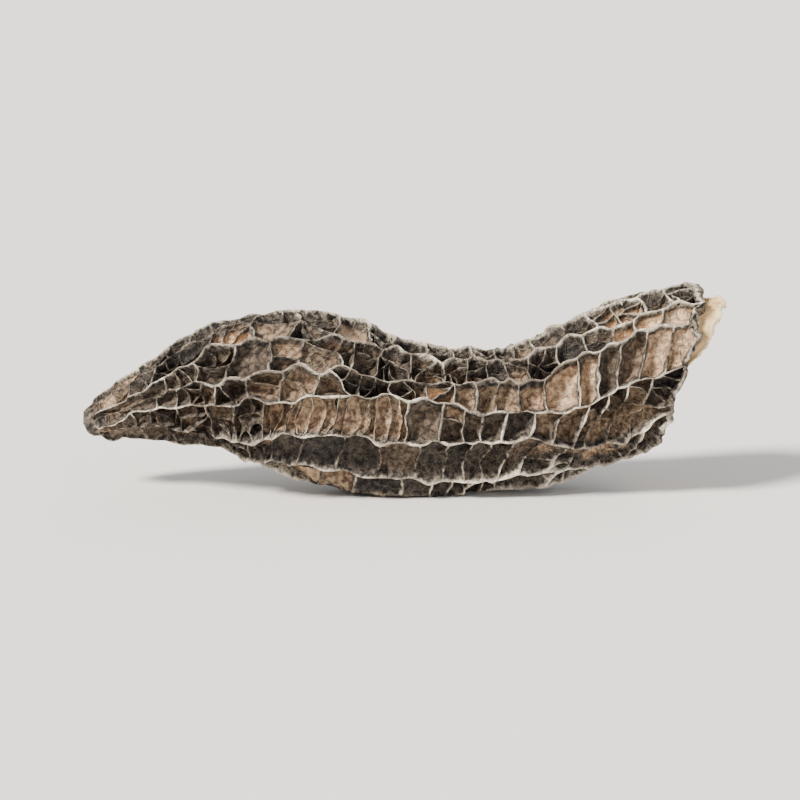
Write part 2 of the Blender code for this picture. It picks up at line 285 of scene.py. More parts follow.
for column, first, last, height in LOW_STRETCHES:
    rung_height[column, (knot_along[column] > first) & (knot_along[column] < last)] = height
knot_height[1::2, :len(STARTING_RIDGE)] *= np.array(STARTING_RIDGE)
knot_height[:, -1] = 1.0
rung_height[:, 0] = 0.6
rung_height[:, -1] = 0.85
print("knots:", knot_along.size)


# %% The place of each knot and of the middle of each rung
def net_place(kind, i, k):
    """Distance along, angle and crest height (0 to 1). Ridge 12 is ridge 0 a whole turn on."""
    if kind == "knot":
        turns, i = divmod(i, RIDGES)
        return np.array([knot_along[i, k], knot_angle[i, k] + 2 * math.pi * turns, knot_height[i, k]])
    place = (net_place("knot", i, k) + net_place("knot", i + 1, k)) / 2
    return place + [rung_bow[i, k], 0.0, place[2] * (rung_height[i, k] - 1.0)]


def pits():
    """Each pit, as its column and the half rows of the rungs at its two ends."""
    for i in range(RIDGES):
        rows = [k for k in range(LAST_ROW + 1) if k in (0, LAST_ROW) or (k + i) % 2 == 0]
        yield from ((i, first, last) for first, last in zip(rows, rows[1:]))


def pit_names(i, first, last):
    """The knots round a pit, ending where they began."""
    near = [("knot", i, k) for k in range(first, last + 1)]
    far = [("knot", i + 1, k) for k in range(last, first - 1, -1)]
    return near + [("rung", i, last)] + far + [("rung", i, first), near[0]]


def edge_names(k):
    """The knots round one end of the net, ending a whole turn on from where they began."""
    names = [(kind, i, k) for i in range(RIDGES) for kind in ("knot", "rung")]
    return names + [("knot", RIDGES, k)]


print("knots and rungs round each end of the net:", len(edge_names(0)) - 1)


# %% [markdown]
# ## Fine ridges
#
# Between two knots a real ridge isn't straight: it wavers, sags and frays as it dries. So each line of the
# net is cut into steps of under a third of a millimetre, every step is nudged by a small seeded draw, and
# then each point is drawn towards its neighbours a few times. The smoothing turns the jitter into slow waves.
# Where a rung meets a ridge only the ridge's own points count, so the ridges flow on from tip to rim as on
# the real cap. Neighbouring pits share these points, so the finished skin has no gaps.

# %% Cut the net's lines into fine steps
FINE_STEP = 0.28
SIDE_JITTER = 0.42
SAG_POWER = 2.4
RIDGE_THICKNESS = 0.72
RUNG_THICKNESS = 0.50
jitter = random.Random(7)
fine_points = []
fine_index = {}
fine_lines = {}


def point_index(name):
    """The number of the fine point at a knot, and the whole turns that its name is on from it."""
    kind, i, k = name
    turns = i // RIDGES
    key = (kind, i - turns * RIDGES, k)
    if key not in fine_index:
        fine_index[key] = len(fine_points)
        thickness = RIDGE_THICKNESS if kind == "knot" else RUNG_THICKNESS
        fine_points.append(np.append(net_place(*key), thickness))
    return fine_index[key], turns


def cut_line(a, b):
    """The fine points from knot a to knot b, as their numbers and whole turns."""
    start, end = net_place(*a), net_place(*b)
    radius = float(body_radius(start[0], start[1]))
    length = math.hypot(end[0] - start[0], (end[1] - start[1]) * radius)
    steps = max(2, round(length / FINE_STEP))
    cut = [point_index(a)]
    for step in range(1, steps):
        t = step / steps
        place = np.append(start * (1.0 - t) + end * t, RIDGE_THICKNESS)
        if b[0] == "rung":
            place[2] = end[2] + (start[2] - end[2]) * (1.0 - t) ** SAG_POWER
            place[3] = RIDGE_THICKNESS * (1.0 - t) + RUNG_THICKNESS * t
        place[0] += jitter.uniform(-SIDE_JITTER, SIDE_JITTER)
        place[1] += jitter.uniform(-SIDE_JITTER, SIDE_JITTER) / max(radius, 1.0)
        cut.append((len(fine_points), 0))
        fine_points.append(place)
    return cut + [point_index(b)]


def fine_line(a, b):
    """The fine points from a to b, cut once and shared by the pits on both sides."""
    turns = min(a[1], b[1]) // RIDGES
    ends = [(kind, i - turns * RIDGES, k) for kind, i, k in (a, b)]
    key = tuple(sorted(ends))
    if key not in fine_lines:
        fine_lines[key] = cut_line(*key)
    cut = fine_lines[key] if ends[0] == key[0] else fine_lines[key][::-1]
    return [(index, extra + turns) for index, extra in cut]


def fine_loop(names):
    loop = []
    for a, b in zip(names, names[1:]):
        loop += fine_line(a, b)[:-1]
    return np.array(loop)


pit_loops = [(pit, fine_loop(pit_names(*pit))) for pit in pits()]
tip_loop = fine_loop(edge_names(0))
rim_loop = fine_loop(edge_names(LAST_ROW))
print("main pits:", len(pit_loops), "fine points on their ridges:", len(fine_points))

# %% [markdown]
# ## Second growth
#
# Inside the large pits of a real morel there are lower ridges that never reached the full height. They start
# high up at the walls and sag in the middle, and they make the net look so crowded. Each large pit is cut in
# two by such a ridge, across its longer way, and what is still large is cut again. A few wide pale floors are
# rippled like sand instead, by very low ridges that follow each other along the pit. Noise in the material
# could hint at both, but only real ridges cast shadows and show in the mesh that others reuse.

# %% Where low ridges grow, and how high
BIG_PIT = 2.6
MIDDLING_PIT = 1.5
NEAR_TIP = (15.0, 0.7)
DIVIDED_SHARE = 0.55
MOST_DIVISIONS = 3
FEWEST_STEPS = 5
CUT_TURN = 0.5
CUT_SHIFT = 0.35
CUT_BOW = 0.25
LOW_RIDGE_HEIGHT = (0.30, 0.95)
LOW_RIDGE_THICKNESS = 0.35
LOW_RIDGE = (LOW_RIDGE_THICKNESS, SIDE_JITTER, 3)  # thickness, waver in mm, and how sharply the ends rise

# Open places without such ridges, the long dark furrows and the clear cells: mm along, degrees round, reach
OPEN_SPOTS = (
    (26.9, 177, 1.8), (31.1, 177, 2.2), (34.7, 176, 1.8), (18.5, 218, 3.0), (23.5, 218, 3.0),
    (28.5, 220, 3.0), (32.3, 227, 2.6), (36.1, 159, 1.4), (38.3, 159, 1.3), (40.3, 158, 1.3),
    (42.9, 157, 1.3), (46.0, 149, 2.0), (47.7, 129, 2.0), (31.1, 152, 1.5), (32.9, 158, 1.5),
)

# A few wide, pale floors are rippled like sand instead: mm along, degrees round, reach
RIPPLED_SPOTS = ((18.0, 195, 2.2), (21.0, 186, 2.2), (23.8, 180, 2.0))
growth = random.Random(31)
growth_lines = []


def spot_distance(along, angle, spot_along, degrees):
    """How far a place is from a spot over the skin, in mm."""
    return math.hypot(along - spot_along, (angle - math.radians(degrees)) * float(body_radius(along, angle)))


def near_one_of(spots, along, angle):
    """True where a place is within reach of one of these spots."""
    return any(spot_distance(along, angle, *spot[:2]) < spot[2] for spot in spots)


def flat_outline(loop, points):
    """A pit's outline in flat mm, along and across, and the radius that makes mm of its angles."""
    along, angle = points[loop[:, 0], 0], points[loop[:, 0], 1] + 2 * math.pi * loop[:, 1]
    radius = float(body_radius(along.mean(), angle.mean()))
    return np.column_stack([along, angle * radius]), radius


def ring_smooth(values, times):
    """Draws each value round a ring towards its two neighbours, this many times."""
    for _ in range(times):
        values = 0.5 * values + 0.25 * (np.roll(values, 1) + np.roll(values, -1))
    return values


print("places that stay open:", len(OPEN_SPOTS), "and rippled ones:", len(RIPPLED_SPOTS))


# %% Cut one pit in two
def cut_pit(loop, outline, radius, ends, bow, low, ridge_kind):
    """The two pits that a low ridge between two points of a pit's outline leaves on its two sides."""
    thickness, waver, sag_power = ridge_kind
    first, second = ends
    start, end = outline[first], outline[second]
    steps = max(3, round(np.linalg.norm(end - start) / FINE_STEP))
    across = np.array([start[1] - end[1], end[0] - start[0]])
    heights = [fine_points[loop[at, 0]][2] for at in ends]
    cut = []
    for step in range(1, steps):
        t = step / steps
        place = start * (1.0 - t) + end * t + across * bow * math.sin(math.pi * t)
        place += [growth.uniform(-waver, waver), growth.uniform(-waver, waver)]
        height = heights[0] * (1.0 - t) + heights[1] * t
        height *= low + (1.0 - low) * abs(2.0 * t - 1.0) ** sag_power
        cut.append((len(fine_points), 0))
        fine_points.append(np.array([place[0], place[1] / radius, height, thickness]))
    growth_lines.append(np.concatenate([loop[first:first + 1], cut, loop[second:second + 1]]))
    one = np.concatenate([loop[first:second + 1], cut[::-1]])
    return one, np.concatenate([loop[second:], loop[:first + 1], cut])


def crossings(side, fewest_steps):
    """Where a pit's outline changes sides, if it does so at just two places that are far enough apart."""
    found = np.flatnonzero((side > 0) != (np.roll(side, -1) > 0))
    clear = len(found) == 2 and fewest_steps <= found[1] - found[0] <= len(side) - fewest_steps
    return found if clear else None


# %% Divide the larger pits
def divide(loop, level=0):
    """The pits that a pit is divided into: itself alone, or two or more with low ridges between them."""
    outline, radius = flat_outline(loop, np.array(fine_points))
    forward = np.roll(outline, -1, axis=0)
    area = abs(np.sum(outline[:, 0] * forward[:, 1] - outline[:, 1] * forward[:, 0])) / 2
    along, angle = outline.mean(axis=0) / (1.0, radius)
    if near_one_of(OPEN_SPOTS + RIPPLED_SPOTS, along, angle):
        return [loop]
    crowded = NEAR_TIP[1] if along < NEAR_TIP[0] else 1.0
    chance = 1.0 if area > BIG_PIT * crowded else DIVIDED_SHARE if area > MIDDLING_PIT * crowded else 0.0
    if level == MOST_DIVISIONS or growth.random() >= chance:
        return [loop]
    centre = outline.mean(axis=0)
    spread, axes = np.linalg.eigh(np.cov((outline - centre).T))
    turn = math.atan2(axes[1, 1], axes[0, 1]) % math.pi + growth.uniform(-CUT_TURN, CUT_TURN)
    side = (outline - centre) @ [math.cos(turn), math.sin(turn)]
    side -= growth.uniform(-CUT_SHIFT, CUT_SHIFT) * math.sqrt(spread[1])
    ends = crossings(side, FEWEST_STEPS)
    if ends is None:
        return [loop]
    bow, low = growth.uniform(-CUT_BOW, CUT_BOW), growth.uniform(*LOW_RIDGE_HEIGHT)
    one, other = cut_pit(loop, outline, radius, ends, bow, low, LOW_RIDGE)
    return divide(one, level + 1) + divide(other, level + 1)


# %% Ripple the floors of the pale patch
RIPPLE_STEP = 0.78
RIPPLE_BOW = 0.26
RIPPLE_HEIGHT = 0.16
RIPPLE_THICKNESS = 0.25
RIPPLE = (RIPPLE_THICKNESS, 0.15, 8)
CALMINGS = 6
FEWEST_RIPPLE_STEPS = 2


def ripple(loop, pit_start=None, pit_end=None):
    """The strips between bowed ripples, which follow each other along the pit. Other pits stay whole."""
    outline, radius = flat_outline(loop, np.array(fine_points))
    along, angle = outline.mean(axis=0) / (1.0, radius)
    if pit_start is None:
        if not near_one_of(RIPPLED_SPOTS, along, angle):
            return [loop]
        pit_start, pit_end = outline[:, 0].min(), outline[:, 0].max()
    calm = ring_smooth(outline[:, 0], CALMINGS)
    place = calm.min() + RIPPLE_STEP
    ends = crossings(calm - place, FEWEST_RIPPLE_STEPS)
    if place > pit_end - RIPPLE_STEP / 2 or ends is None:
        return [loop]
    bow = RIPPLE_BOW * (2.0 * (place - pit_start) / (pit_end - pit_start) - 1.0)
    if outline[ends[1], 1] > outline[ends[0], 1]:
        bow = -bow
    parts = cut_pit(loop, outline, radius, ends, bow, RIPPLE_HEIGHT, RIPPLE)
    behind, ahead_part = sorted(parts, key=lambda part: np.mean([fine_points[at][0] for at in part[:, 0]]))
    return [behind] + ripple(ahead_part, pit_start, pit_end)


divided = [(pit, part) for pit, loop in pit_loops for part in divide(loop)]
small_pits = [(pit, strip) for pit, part in divided for strip in ripple(part)]
fine = np.array(fine_points)
print("pits after the second growth:", len(divided), "and with the ripples:", len(small_pits))
print("fine points:", len(fine))

# %% Let the ridges waver
SMOOTHINGS = 5
HEIGHT_JITTER = 0.36
THICKNESS_JITTER = 1.3


def is_rung(key):
    """True for a line across from a ridge to the middle of a rung, but not round the tip or the rim."""
    return key[0][0] != key[1][0] and key[0][2] not in (0, LAST_ROW)


# Each link pulls its first point towards its second. The pinned ones don't: rungs and low ridges hang from
# the ridges at their ends without pulling them aside.
links = []
for cut in [*fine_lines.values(), *growth_lines]:
    for (a, turn_a), (b, turn_b) in zip(cut, cut[1:]):
        links.append((a, b, turn_b - turn_a))
        links.append((b, a, turn_a - turn_b))
pinned = {(cut[0][0], cut[1][0]) for key, cut in fine_lines.items() if is_rung(key)}
pinned |= {(cut[end][0], cut[next_in][0]) for cut in growth_lines for end, next_in in ((0, 1), (-1, -2))}
links = np.array([link for link in links if link[:2] not in pinned])
neighbours = np.bincount(links[:, 0], minlength=len(fine))
draws = np.random.default_rng(3).uniform(-1.0, 1.0, (len(fine), 2)) * (HEIGHT_JITTER, THICKNESS_JITTER)
wavy = np.column_stack([fine, draws])
for _ in range(SMOOTHINGS):
    ahead_values = wavy[links[:, 1]]
    ahead_values[:, 1] += 2 * math.pi * links[:, 2]
    mean = np.stack([np.bincount(links[:, 0], column, len(fine)) for column in ahead_values.T], axis=1)
    wavy = 0.5 * wavy + 0.5 * mean / neighbours[:, None]
ridge_along, ridge_angle = wavy[:, 0], wavy[:, 1]
ridge_height = np.clip(fine[:, 2] * 0.6 + wavy[:, 2] * 0.4 + wavy[:, 4], 0.08, 1.05)
ridge_thickness = np.clip(wavy[:, 3] * (1.0 + wavy[:, 5]), 0.35, 1.6)
print("crest heights:", round(ridge_height.min(), 2), "to", round(ridge_height.max(), 2))

# %% [markdown]
# ## The pits
#
# Each pit is a stack of closed rings: the crest line, the rounded edge of the crest, the steep wall, the foot
# and then a bowl that closes on one point. Insetting each face of a mesh would do the same on a flat sheet,
# but here each ring is worked out in along-and-angle space, so its width stays in real millimetres on the
# bent body. The walls are pleated, because the skin had to go somewhere as the flesh shrank.

# %% The section from a crest down to the floor
# Each ring: mm in from the crest line where the ridge is of full thickness, mm further in whatever the
# thickness, share of the way down, and share of the crest's paleness
WALL_RINGS = (
    (0.075, 0.00, 0.03, 1.00),
    (0.130, 0.02, 0.22, 0.50),
    (0.150, 0.08, 0.60, 0.10),
    (0.155, 0.26, 0.95, 0.0),
)
FLOOR_RINGS = (0.50,)
DEEPER = 1.2  # than the pits of the solid
FURTHEST_IN = 0.62  # share of the way to the centre that a wall may take up
SLOWEST_IN = 0.45
ROOMY = 0.85  # mm from edge to centre, under which the rings are drawn closer together
PLEATS = 1.1
BOWL = 0.14
LEAN = 0.28

vertices = []
crest_share = []
depth_share = []
pit_tone_and_shade = []
faces = []
face_zone = []
CAP, STEM, HOLLOW = 0, 1, 2


def add_points(along, angle, radius, crest, depth, tone):
    """Adds a ring of vertices with what the materials need to know, and returns their numbers."""
    place = body_point(along, angle, radius)
    place[..., 2] = np.maximum(place[..., 2], 0.0)
    place = place.reshape(-1, 3)
    first = sum(len(block) for block in vertices)
    vertices.append(place)
    for store, value in ((crest_share, crest), (depth_share, depth), (pit_tone_and_shade, tone)):
        store.append(np.broadcast_to(value, len(place)))
    return np.arange(first, first + len(place))


def crest_lean(along, angle, height):
    """How far a ridge leans over sideways, in radians, where it dried that way."""
    sway = np.cos(2 * angle + 0.33 * along) + 0.7 * np.cos(5 * angle - 0.51 * along + 1.0)
    depth = floor_depth(along, angle)
    return LEAN * sway / 1.7 * height * depth / PIT_DEPTH / np.maximum(body_radius(along, angle), 0.5)


def strip(ring, following, zone):
    ahead_ring = np.roll(following, -1)
    faces.extend(zip(ring, np.roll(ring, -1), ahead_ring, following))
    face_zone.extend([zone] * len(ring))


def fan(ring, hub, zone):
    faces.extend((a, b, hub) for a, b in zip(ring, np.roll(ring, -1)))
    face_zone.extend([zone] * len(ring))


print("rings between a crest and its floor:", len(WALL_RINGS) + len(FLOOR_RINGS))


# %% Place the crests, with painted light that makes them paler the higher they stand, and fray the rim
KINDS = (RIPPLE_THICKNESS, LOW_RIDGE_THICKNESS, RUNG_THICKNESS, RIDGE_THICKNESS)
KIND_PALENESS = (2.6, 0.90, 0.92, 1.0)
RIM_RAG = 0.22
# The crests' paleness is partly their own colour and partly painted light, more the higher they stand
crest_paleness_and_light = 0.10 + 0.90 * np.clip(ridge_height, 0.0, 1.0) ** 1.2
crest_paleness_and_light = crest_paleness_and_light * np.interp(fine[:, 3], KINDS, KIND_PALENESS)
crest_paleness_and_light = crest_paleness_and_light * (0.80 + 0.20 * smooth_step((ridge_along - 9.0) / 12.0))
rim_rag = np.random.default_rng(5).uniform(-1.0, 1.0, len(rim_loop))
rim_rag = RIM_RAG * (rim_rag + np.roll(rim_rag, 1) + np.roll(rim_rag, -1))
ridge_along[rim_loop[:, 0]] += rim_rag
crest_paleness_and_light[rim_loop[:, 0]] *= 0.75 + 0.8 * rim_rag
crest_points = add_points(
    ridge_along,
    ridge_angle + crest_lean(ridge_along, ridge_angle, ridge_height),
    body_radius(ridge_along, ridge_angle) - floor_depth(ridge_along, ridge_angle) * (1.0 - ridge_height),
    crest_paleness_and_light,
    np.clip(1.0 - ridge_height, 0.0, 1.0),
    0.5,
)
print("points along the crests:", len(crest_points))

# %% The tone of each pit's floor
# Floors are dark and pale by slow waves along and round the cap: radians a mm, times round, and phase.
# On top of them come the spots seen on the mushroom: mm along, degrees round, reach in mm, and tone.
# The dark tones are partly the floors' own colour and partly painted shade.
TONE_SPOTS = (
    (17.5, 197, 3.0, 0.85), (21.0, 184, 3.0, 0.75), (24.2, 175, 2.6, 0.80),
    (14.9, 169, 1.2, 0.60), (17.1, 167, 1.2, 0.60), (17.9, 122, 2.2, 0.20),
    (27.9, 130, 2.0, 0.50), (31.1, 152, 1.6, 0.55), (32.9, 158, 1.6, 0.60),
    (36.1, 159, 1.4, 0.85), (38.3, 159, 1.3, 1.00), (40.3, 158, 1.2, 0.95), (41.6, 158, 0.9, 0.15),
    (42.9, 157, 1.1, 0.35), (45.9, 149, 2.0, 1.00), (47.7, 129, 2.0, 0.95),
    (26.9, 177, 2.0, 0.02), (31.1, 177, 2.2, 0.02), (34.7, 176, 1.8, 0.05), (40.5, 180, 1.6, 0.20),
    (43.3, 179, 1.6, 0.30), (18.5, 218, 3.0, 0.02), (23.5, 218, 3.0, 0.02), (28.5, 220, 3.0, 0.02),
    (32.3, 227, 3.0, 0.05), (35.3, 192, 2.0, 0.50), (38.5, 206, 2.4, 0.55), (42.1, 210, 2.4, 0.50),
    (6.0, 165, 4.0, 0.15), (11.0, 150, 4.0, 0.12), (11.0, 190, 4.0, 0.15), (20.0, 137, 2.6, 0.12),
    (24.0, 137, 2.6, 0.15),
)
TONE_WAVES = ((0.42, 2, 1.0), (0.23, -3, 2.6), (0.81, 1, 0.4), (0.57, -5, 4.1))
TONE_DRAW = 0.14
tone_draw = random.Random(11)


def floor_tone_and_shade(along, angle):
    """0 for a dark floor, partly painted shade, and 1 for a pale one."""
    waves = sum(math.cos(per_mm * along + turns * angle + phase) for per_mm, turns, phase in TONE_WAVES)
    drawn = 0.85 * float(smooth_step((waves - 0.1) / 1.8)) + tone_draw.uniform(-TONE_DRAW, TONE_DRAW)
    best, tone = 1.0, drawn
    for spot_along, degrees, reach, spot_tone in TONE_SPOTS:
        away = spot_distance(along, angle, spot_along, degrees) / reach
        if away < best:
            best, tone = away, 0.2 * drawn + 0.8 * spot_tone
    return min(max(tone, 0.0), 1.0)


print("places with a tone read from the mushroom:", len(TONE_SPOTS))


# %% The way in from a pit's edge
def way_in(outline):
    """Each edge point's vector to the pit's centre, and how far the centre lies from the edge there."""
    centre = outline.mean(axis=0)
    ahead_edge = np.roll(outline, -2, axis=0) - np.roll(outline, 2, axis=0)
    normal = np.column_stack([-ahead_edge[:, 1], ahead_edge[:, 0]])
    normal /= np.maximum(np.linalg.norm(normal, axis=1), 1e-6)[:, None]
    to_centre = centre - outline
    reach = np.sum(to_centre * normal, axis=1)
    reach *= math.copysign(1.0, reach.sum())
    return to_centre, np.maximum(reach, SLOWEST_IN * np.linalg.norm(to_centre, axis=1))


# %% Build every pit
pit_draw = np.random.default_rng(17)
for pit, loop in small_pits:
    crest_ring = crest_points[loop[:, 0]]
    outline, radius = flat_outline(loop, wavy)
    height, thickness = ridge_height[loop[:, 0]], ridge_thickness[loop[:, 0]]
    to_centre, reach = way_in(outline)
    tight = min(1.0, float(np.median(reach)) / ROOMY)
    pleat = 1.0 + PLEATS * ring_smooth(pit_draw.uniform(-1.0, 1.0, len(loop)), 1)
    sag = 1.0 + 0.3 * ring_smooth(pit_draw.uniform(-1.0, 1.0, len(loop)), 2)
    sink = DEEPER * pit_sink[pit[0], pit[1]] * pit_draw.uniform(0.9, 1.05)
    tone = floor_tone_and_shade(outline[:, 0].mean(), outline[:, 1].mean() / radius)
    sections = [(edge, run, down, pale, 1.0) for edge, run, down, pale in WALL_RINGS]
    sections += [(*WALL_RINGS[-1][:2], 1.0, 0.0, share) for share in FLOOR_RINGS]
    ring = crest_ring
    for edge, run, down, pale, share in sections:
        moved = ring_smooth((edge * thickness + run * pleat) * tight / reach, 1)
        moved = 1.0 - (1.0 - np.minimum(moved, FURTHEST_IN)) * share
        place = outline + to_centre * moved[:, None]
        ring_along, ring_angle = place[:, 0], place[:, 1] / radius
        deep = floor_depth(ring_along, ring_angle)
        down = np.minimum(down * sag, 1.0) if 0.2 < down < 0.9 else down
        drop = deep * ((1.0 - height) * (1.0 - down) + sink * down) + BOWL * sink * deep * (1.0 - share**2)
        lean = crest_lean(ring_along, ring_angle, height) * (1.0 - down)
        following = add_points(
            ring_along,
            ring_angle + lean,
            body_radius(ring_along, ring_angle) - drop,
            pale * crest_paleness_and_light[loop[:, 0]],
            np.clip(drop / np.maximum(deep, 0.05), 0.0, 1.0),
            tone,
        )
        strip(ring, following, CAP)
        ring = following
    centre = outline.mean(axis=0)
    middle_along, middle_angle = centre[0], centre[1] / radius
    deepest = (1.0 + BOWL) * sink * floor_depth(middle_along, middle_angle)
    middle_radius = body_radius(middle_along, middle_angle)
    hub = add_points(middle_along, middle_angle, middle_radius - deepest, 0.0, 1.0, tone)[0]
    fan(ring, hub, CAP)
print("points after the pits:", sum(len(block) for block in vertices))

# %% Close the tip with a small dome
DOME_SHARES = (0.62, 0.28)
tip_ring = crest_points[tip_loop[:, 0]]
tip_along = ridge_along[tip_loop[:, 0]]
tip_angle = ridge_angle[tip_loop[:, 0]] + 2 * math.pi * tip_loop[:, 1]
tip_radius = body_radius(tip_along, tip_angle)
tip_pale = crest_paleness_and_light[tip_loop[:, 0]]
ring = tip_ring
for share in DOME_SHARES:
    round_share = math.sqrt(share * (2.0 - share))
    radius = tip_radius * round_share * 0.9
    following = add_points(tip_along * share, tip_angle, radius, tip_pale * share**0.4, 0.5, 0.2)
    strip(following, ring, CAP)
    ring = following
fan(ring[::-1], add_points(0.0, 0.0, 0.0, 0.25, 0.5, 0.2)[0], CAP)
print("faces with the tip closed:", len(faces))

# %% [markdown]
# ## The rim, the torn stem and the hollow
#
# Past the last row of pits the skin rolls over the rim, turns in to the stem, runs out along it, crosses its
# torn end and comes back up the hollow. It is one run of rings that starts from the net's own last points, so
# the mushroom stays one closed skin. A Boolean cut of a separate tube would leave a hard seam there.

# %% The stem's shape
STEM_RADIUS = 4.25
STEM_STUB = 0.9
STEM_SLANT = 0.95
STEM_WALL = 0.65
CAP_WALL = 0.65
DEEPEST_PIT = 1.35
HOLLOW_END = 5.0
TEARS = ((5, 0.22, 2.2), (7, 0.15, 0.0), (13, 0.10, 1.0), (19, 0.08, 0.4), (31, 0.05, 2.0))


def stem_radius(angle):
    return STEM_RADIUS * (1.0 + 0.035 * np.cos(3 * angle + 1.0) + 0.025 * np.cos(5 * angle + 2.0))


def stem_end(rim_along, angle):
    """How far along the stem's torn edge lies. It sticks out furthest at the top."""
    torn = sum(size * np.cos(count * angle + phase) for count, size, phase in TEARS)
    return rim_along + STEM_STUB + STEM_SLANT * np.cos(angle - math.radians(70)) + torn


def hollow_radius(along, angle):
    in_cap = body_radius(along, angle) - DEEPEST_PIT * pit_depth(along) - CAP_WALL
    in_stem = stem_radius(angle) - STEM_WALL
    share = smooth_step((along - NET_END + 5.0) / 5.0)
    return np.maximum(in_cap * (1.0 - share) + in_stem * share, 0.4)


# %% Roll the rim and run out along the stem
rim_ring = crest_points[rim_loop[:, 0]]
rim_along = ridge_along[rim_loop[:, 0]]
rim_angle = ridge_angle[rim_loop[:, 0]] + 2 * math.pi * rim_loop[:, 1]
rim_crest = body_radius(rim_along, rim_angle)
even_along = NET_END + rim_slant(rim_angle)
stem = stem_radius(rim_angle)
end = stem_end(even_along, rim_angle)

# Each ring of the rim: mm past the last crest, how far it has turned in from crest to stem, and its paleness
RIM_RINGS = (
    (0.10, 0.00, 0.90),
    (0.20, 0.03, 0.60),
    (0.30, 0.12, 0.35),
    (0.34, 0.28, 0.25),
    (0.32, 0.55, 0.20),
    (0.24, 0.80, 0.20),
    (0.18, 0.95, 0.20),
)

# The roll is pleated all round: mm in and out, in waves that crowd and spread
RIM_PLEAT = 0.17
rim_wave = np.cos(17 * rim_angle + 2 * np.cos(4 * rim_angle))
rim_pale = 0.75 + 0.25 * rim_wave
ring = rim_ring
for past, turned, crest in RIM_RINGS:
    radius = rim_crest * (1.0 - turned) + stem * turned
    along = rim_along + past + RIM_PLEAT * rim_wave * math.sin(math.pi * turned)
    pale = crest * rim_pale + 0.35 * np.maximum(rim_wave, 0.0) * math.sin(math.pi * turned)
    following = add_points(along, rim_angle, radius, pale, 0.3, 0.5)
    strip(following, ring, CAP)
    ring = following

# The stem's lengthwise folds, and how it widens towards the tear
STEM_RINGS = 9
STEM_START = 0.22
STEM_FLARE = 0.12
for step in range(1, STEM_RINGS + 1):
    t = step / STEM_RINGS
    along = (rim_along + STEM_START) * (1.0 - t) + end * t
    radius = stem * (1.0 + 0.03 * np.cos(9 * rim_angle + 3.0 * t) + 0.02 * np.cos(16 * rim_angle - 2.0 * t))
    radius += STEM_FLARE * t**2
    following = add_points(along, rim_angle, radius, smooth_step((t - 0.75) / 0.25), 0.0, 0.5)
    strip(following, ring, STEM)
    ring = following
print("faces with the rim and the stem:", len(faces))

# %% Cross the torn edge and come back up the hollow
HOLLOW_RINGS = 26
TEAR_RINGS = ((0.07, 0.14), (0.09, 0.34), (0.02, 0.52))  # mm past the torn edge, and mm in from the skin
for past, inward in TEAR_RINGS:
    following = add_points(end + past, rim_angle, stem + STEM_FLARE - inward, 1.0, 0.0, 0.5)
    strip(following, ring, STEM)
    ring = following
for step in np.linspace(0.02, 1.0, HOLLOW_RINGS):
    along = end * (1.0 - step) + HOLLOW_END * step
    closing = math.sqrt(1.0 - 0.8 * max(0.0, step - 0.75) / 0.25)
    radius = hollow_radius(along, rim_angle) * closing
    following = add_points(along, rim_angle, radius, 0.0, step, 0.5)
    strip(following, ring, HOLLOW if step > 0.05 else STEM)
    ring = following
fan(ring, add_points(HOLLOW_END - 0.8, 0.0, 0.0, 0.0, 1.0, 0.5)[0], HOLLOW)
print("faces with the hollow:", len(faces))

# %% Make the mesh
cap_mesh = bpy.data.meshes.new("dried_morel")
cap_mesh.from_pydata(np.concatenate(vertices) * MM, [], faces)
for name, values in (("crest", crest_share), ("depth", depth_share), ("tone", pit_tone_and_shade)):
    layer = cap_mesh.attributes.new(name, "FLOAT", "POINT")
    layer.data.foreach_set("value", np.concatenate(values).astype(np.float32))
zone_layer = cap_mesh.attributes.new("zone", "INT", "FACE")
zone_layer.data.foreach_set("value", np.array(face_zone, np.int32))
work = bmesh.new()
work.from_mesh(cap_mesh)
bmesh.ops.recalc_face_normals(work, faces=work.faces)
open_edges = sum(1 for edge in work.edges if not edge.is_manifold)
triangles = sum(len(face.verts) - 2 for face in work.faces)
print("triangles:", triangles, "open edges:", open_edges, "volume mm3:", round(work.calc_volume() / MM**3))
work.to_mesh(cap_mesh)
work.free()


def add_object(name, data):
    """A new object in the scene, at the origin and unturned."""
    obj = bpy.data.objects.new(name, data)
    bpy.context.scene.collection.objects.link(obj)
    return obj


morel = add_object("dried_morel", cap_mesh)

# %% [markdown]
# ## Materials
#
# The cap's skin is dry, leathery tissue with no gloss. What the eye reads is its colour by place: the crests
# are a pale grey tan, with painted light that makes the highest ones palest, the walls are near black and
# partly painted shade, and some floors are pinkish tan while the dark ones are partly painted shade. The
# mesh carries how near each point is to a crest, how deep it lies and how pale its pit is, so the colours
# follow the relief on every side. A picture wrapped round the mushroom would stretch on the walls.

# %% Colour and node helpers
def from_hex(code):
    """An sRGB hex colour as the linear values that a shader works in."""
    shares = [int(code[at:at + 2], 16) / 255 for at in (1, 3, 5)]
    linear = [share / 12.92 if share <= 0.04045 else ((share + 0.055) / 1.055) ** 2.4 for share in shares]
    return (*linear, 1.0)


def per_mm(size):
    """The scale of a pattern, in repeats a metre, from its size in mm."""
    return 1.0 / (size * MM)


def add_node(tree, kind, settings=None, inputs=None):
    """Adds a node, sets it up, and gives its inputs their values or links them to other nodes' sockets."""
    node = tree.nodes.new(kind)
    for name, value in (settings or {}).items():
        setattr(node, name, value)
    for name, value in (inputs or {}).items():
        if isinstance(value, bpy.types.NodeSocket):
            tree.links.new(value, node.inputs[name])
        else:
            node.inputs[name].default_value = value
    return node


def start_material(name, roughness, specular=0.5):
    material = bpy.data.materials.new(name)
    material.use_nodes = True
    shader = material.node_tree.nodes["Principled BSDF"]
    shader.inputs["Roughness"].default_value = roughness
    shader.inputs["Metallic"].default_value = 0.0
    shader.inputs["Specular IOR Level"].default_value = specular
    return material, material.node_tree, shader


